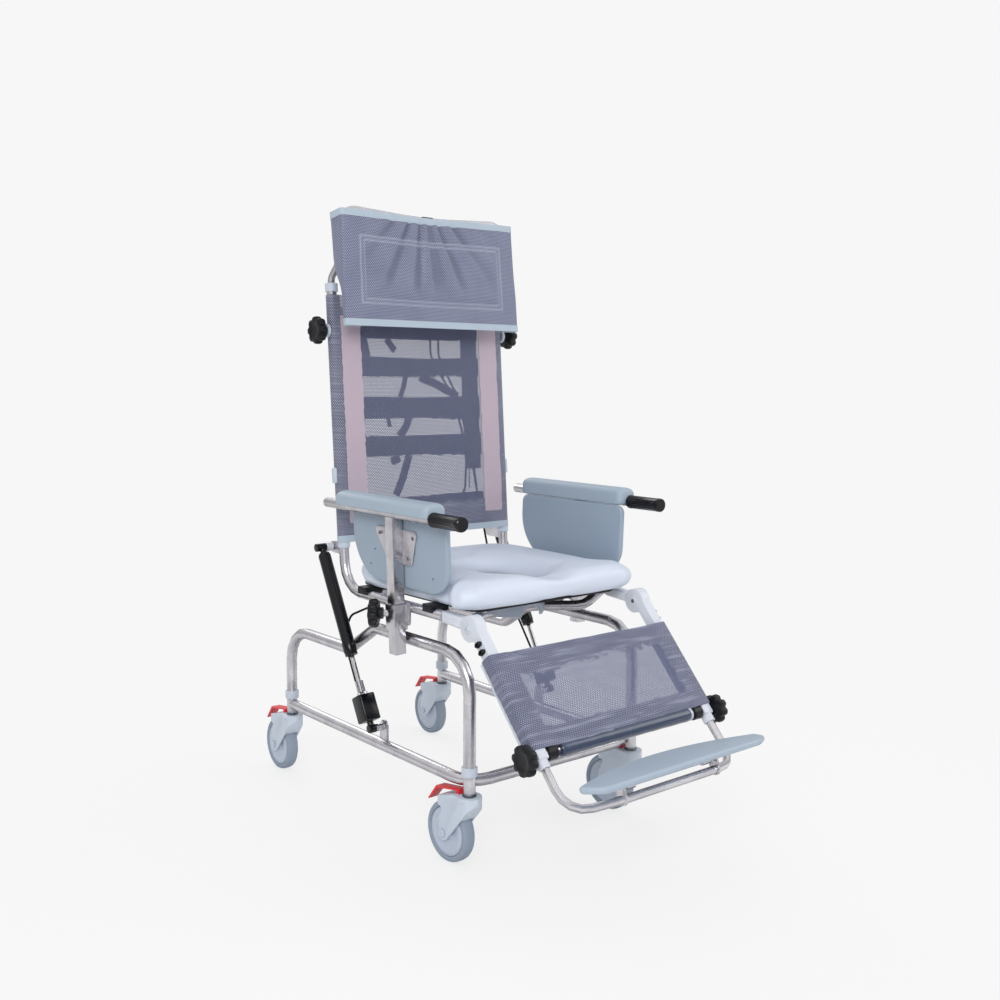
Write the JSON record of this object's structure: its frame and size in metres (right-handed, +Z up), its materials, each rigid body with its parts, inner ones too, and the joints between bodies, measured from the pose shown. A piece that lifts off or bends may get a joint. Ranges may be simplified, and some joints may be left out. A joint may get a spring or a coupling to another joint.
{
  "type": "tilt-in-space shower chair",
  "caption": "Wheeled shower chair with a tilting seat and mesh back on a tubular base, a head rest, armrests, a padded seat with an opening, and a leg and foot rest that adjust.",
  "frame": {"origin": "on the floor, under the middle of the whole chair", "axes": "+X to the sitter's left, +Y towards the back and the push bar, +Z up"},
  "size_m": [0.6368, 1.1774, 1.3336],
  "materials": {
    "steel": "satin silver",
    "white_plastic": "satin",
    "caster_plastic": "satin light grey",
    "tyre": "matt grey",
    "pedal_red": "semi-gloss red",
    "black_plastic": "satin black",
    "grip_rubber": "matt black",
    "cable_sheath": "satin black",
    "mesh_fabric": "open weave, blue grey",
    "pad_foam": "soft moulded foam, pale blue grey",
    "seat_foam": "soft moulded foam, very pale blue",
    "roll_foam": "soft sleeve, dark blue grey"
  },
  "bodies": {
    "base": {"arch_left": "steel", "arch_right": "steel", "lower_frame": "steel"},
    "swivel_front_right": {"caster_fork_front_right": "caster_plastic"},
    "wheel_front_right": {"caster_wheel_front_right": "tyre"},
    "pedal_front_right": {"brake_pedal_front_right": "pedal_red"},
    "swivel_front_left": {"caster_fork_front_left": "caster_plastic"},
    "wheel_front_left": {"caster_wheel_front_left": "tyre"},
    "pedal_front_left": {"brake_pedal_front_left": "pedal_red"},
    "swivel_rear_right": {"caster_fork_rear_right": "caster_plastic"},
    "wheel_rear_right": {"caster_wheel_rear_right": "tyre"},
    "pedal_rear_right": {"brake_pedal_rear_right": "pedal_red"},
    "swivel_rear_left": {"caster_fork_rear_left": "caster_plastic"},
    "wheel_rear_left": {"caster_wheel_rear_left": "tyre"},
    "pedal_rear_left": {"brake_pedal_rear_left": "pedal_red"},
    "seat": {"side_tube_left": "steel", "side_tube_right": "steel", "front_cross_tube": "steel", "rear_cross_tube": "steel", "push_bar": "steel", "armrest_clamp_left": "steel", "armrest_clamp_right": "steel", "leg_knuckle_left": "white_plastic", "leg_knuckle_right": "white_plastic", "seat_cushion": "seat_foam", "seat_board": "black_plastic", "splash_guard": "pad_foam", "back_mesh": "mesh_fabric", "release_cable_left": "cable_sheath", "release_cable_right": "cable_sheath"},
    "strut_cylinder_left": {"strut_cylinder_left": "black_plastic"},
    "strut_rod_left": {"strut_rod_left": "steel", "release_box_left": "black_plastic"},
    "strut_cylinder_right": {"strut_cylinder_right": "black_plastic"},
    "strut_rod_right": {"strut_rod_right": "steel", "release_box_right": "black_plastic"},
    "headrest": {"headrest_frame": "steel", "headrest_pad": "mesh_fabric"},
    "head_knob_left": {"head_knob_left": "black_plastic"},
    "head_knob_right": {"head_knob_right": "black_plastic"},
    "armrest_left": {"armrest_frame_left": "steel", "arm_pad_left": "pad_foam", "side_panel_left": "pad_foam", "hand_grip_left": "grip_rubber"},
    "arm_knob_left": {"arm_knob_left": "black_plastic"},
    "armrest_right": {"armrest_frame_right": "steel", "arm_pad_right": "pad_foam", "side_panel_right": "pad_foam", "hand_grip_right": "grip_rubber"},
    "arm_knob_right": {"arm_knob_right": "black_plastic"},
    "legrest": {"leg_arm_left": "white_plastic", "leg_arm_right": "white_plastic", "leg_frame": "steel", "leg_panel": "mesh_fabric", "leg_roll": "roll_foam"},
    "leg_knob_left": {"leg_knob_left": "black_plastic"},
    "leg_knob_right": {"leg_knob_right": "black_plastic"},
    "footrest": {"footrest_frame": "steel"},
    "footplate": {"footplate": "pad_foam"},
    "release_lever": {"release_lever": "black_plastic"}
  },
  "joints": [
    {"name": "caster_swivel_front_right", "type": "hinge", "parent": "base", "child": "swivel_front_right", "pos_m": [-0.226, -0.22711, 0.1497], "axis": [0, 0, 1], "continuous": true},
    {"name": "wheel_spin_front_right", "type": "hinge", "parent": "swivel_front_right", "child": "wheel_front_right", "pos_m": [-0.22701, -0.16912, 0.0625], "axis": [0.9998, 0.0175, 0], "continuous": true},
    {"name": "brake_front_right", "type": "hinge", "parent": "swivel_front_right", "child": "pedal_front_right", "pos_m": [-0.22642, -0.20311, 0.148], "axis": [-0.9998, -0.0175, 0], "range_deg": [0, 6]},
    {"name": "caster_swivel_front_left", "type": "hinge", "parent": "base", "child": "swivel_front_left", "pos_m": [0.226, -0.22711, 0.1497], "axis": [0, 0, 1], "continuous": true},
    {"name": "wheel_spin_front_left", "type": "hinge", "parent": "swivel_front_left", "child": "wheel_front_left", "pos_m": [0.22195, -0.16925, 0.0625], "axis": [0.9976, 0.0698, 0], "continuous": true},
    {"name": "brake_front_left", "type": "hinge", "parent": "swivel_front_left", "child": "pedal_front_left", "pos_m": [0.22433, -0.20317, 0.148], "axis": [-0.9976, -0.0698, 0], "range_deg": [0, 6]},
    {"name": "caster_swivel_rear_right", "type": "hinge", "parent": "base", "child": "swivel_rear_right", "pos_m": [-0.226, 0.46789, 0.1497], "axis": [0, 0, 1], "continuous": true},
    {"name": "wheel_spin_rear_right", "type": "hinge", "parent": "swivel_rear_right", "child": "wheel_rear_right", "pos_m": [-0.22296, 0.52581, 0.0625], "axis": [0.9986, -0.0523, 0], "continuous": true},
    {"name": "brake_rear_right", "type": "hinge", "parent": "swivel_rear_right", "child": "pedal_rear_right", "pos_m": [-0.22474, 0.49186, 0.148], "axis": [-0.9986, 0.0523, 0], "range_deg": [0, 6]},
    {"name": "caster_swivel_rear_left", "type": "hinge", "parent": "base", "child": "swivel_rear_left", "pos_m": [0.226, 0.46789, 0.1497], "axis": [0, 0, 1], "continuous": true},
    {"name": "wheel_spin_rear_left", "type": "hinge", "parent": "swivel_rear_left", "child": "wheel_rear_left", "pos_m": [0.23005, 0.52575, 0.0625], "axis": [0.9976, -0.0698, 0], "continuous": true},
    {"name": "brake_rear_left", "type": "hinge", "parent": "swivel_rear_left", "child": "pedal_rear_left", "pos_m": [0.22767, 0.49183, 0.148], "axis": [-0.9976, 0.0698, 0], "range_deg": [0, 6]},
    {"name": "seat_tilt", "type": "hinge", "parent": "base", "child": "seat", "pos_m": [0, 0.01839, 0.462], "axis": [-1, 0, 0], "range_deg": [0, 25], "deforming": ["release_cable_left", "release_cable_right"]},
    {"name": "strut_swing_left", "type": "hinge", "parent": "seat", "child": "strut_cylinder_left", "pos_m": [0.255, 0.27142, 0.58398], "axis": [-1, 0, 0], "range_deg": [-12, 1]},
    {"name": "strut_stroke_left", "type": "slide", "parent": "strut_cylinder_left", "child": "strut_rod_left", "axis": [0, 0.472, 0.8816], "range_m": [0, 0.083]},
    {"name": "strut_swing_right", "type": "hinge", "parent": "seat", "child": "strut_cylinder_right", "pos_m": [-0.255, 0.27142, 0.58398], "axis": [-1, 0, 0], "range_deg": [-12, 1]},
    {"name": "strut_stroke_right", "type": "slide", "parent": "strut_cylinder_right", "child": "strut_rod_right", "axis": [0, 0.472, 0.8816], "range_m": [0, 0.083]},
    {"name": "headrest_height", "type": "slide", "parent": "seat", "child": "headrest", "axis": [0, 0.076, 0.9971], "range_m": [0, 0.1]},
    {"name": "head_knob_turn_left", "type": "hinge", "parent": "seat", "child": "head_knob_left", "pos_m": [0.262, 0.25845, 1.06365], "axis": [1, 0, 0], "continuous": true},
    {"name": "head_knob_turn_right", "type": "hinge", "parent": "seat", "child": "head_knob_right", "pos_m": [-0.262, 0.25845, 1.06365], "axis": [-1, 0, 0], "continuous": true},
    {"name": "armrest_height_left", "type": "slide", "parent": "seat", "child": "armrest_left", "axis": [0.0349, 0, 0.9994], "range_m": [0, 0.04]},
    {"name": "arm_knob_turn_left", "type": "hinge", "parent": "seat", "child": "arm_knob_left", "pos_m": [0.25697, -0.02261, 0.48395], "axis": [0.7067, 0.7071, -0.0247], "continuous": true},
    {"name": "armrest_height_right", "type": "slide", "parent": "seat", "child": "armrest_right", "axis": [-0.0349, 0, 0.9994], "range_m": [0, 0.04]},
    {"name": "arm_knob_turn_right", "type": "hinge", "parent": "seat", "child": "arm_knob_right", "pos_m": [-0.25697, -0.02261, 0.48395], "axis": [-0.7067, 0.7071, -0.0247], "continuous": true},
    {"name": "legrest_angle", "type": "hinge", "parent": "seat", "child": "legrest", "pos_m": [0, -0.23861, 0.486], "axis": [-1, 0, 0], "range_deg": [-15, 43]},
    {"name": "leg_knob_turn_left", "type": "hinge", "parent": "legrest", "child": "leg_knob_left", "pos_m": [0.255, -0.43181, 0.28313], "axis": [1, 0, 0], "continuous": true},
    {"name": "leg_knob_turn_right", "type": "hinge", "parent": "legrest", "child": "leg_knob_right", "pos_m": [-0.255, -0.43181, 0.28313], "axis": [-1, 0, 0], "continuous": true},
    {"name": "footrest_length", "type": "slide", "parent": "legrest", "child": "footrest", "axis": [0, -0.666, -0.7459], "range_m": [-0.012, 0.08]},
    {"name": "footplate_flip", "type": "hinge", "parent": "footrest", "child": "footplate", "pos_m": [0, -0.53887, 0.23528], "axis": [-1, 0, 0], "range_deg": [-15, 40]},
    {"name": "lever_squeeze", "type": "hinge", "parent": "seat", "child": "release_lever", "pos_m": [0.095, 0.32621, 1.08426], "axis": [1, 0, 0], "range_deg": [0, 10], "stiffness_Nm_per_rad": 0.8}
  ],
  "couplings": [
    {"joint": "strut_swing_left", "follows": "seat_tilt", "ratio": -0.44606},
    {"joint": "strut_stroke_left", "follows": "seat_tilt", "m_per_rad": 0.18664},
    {"joint": "strut_swing_right", "follows": "seat_tilt", "ratio": -0.44606},
    {"joint": "strut_stroke_right", "follows": "seat_tilt", "m_per_rad": 0.18664}
  ]
}
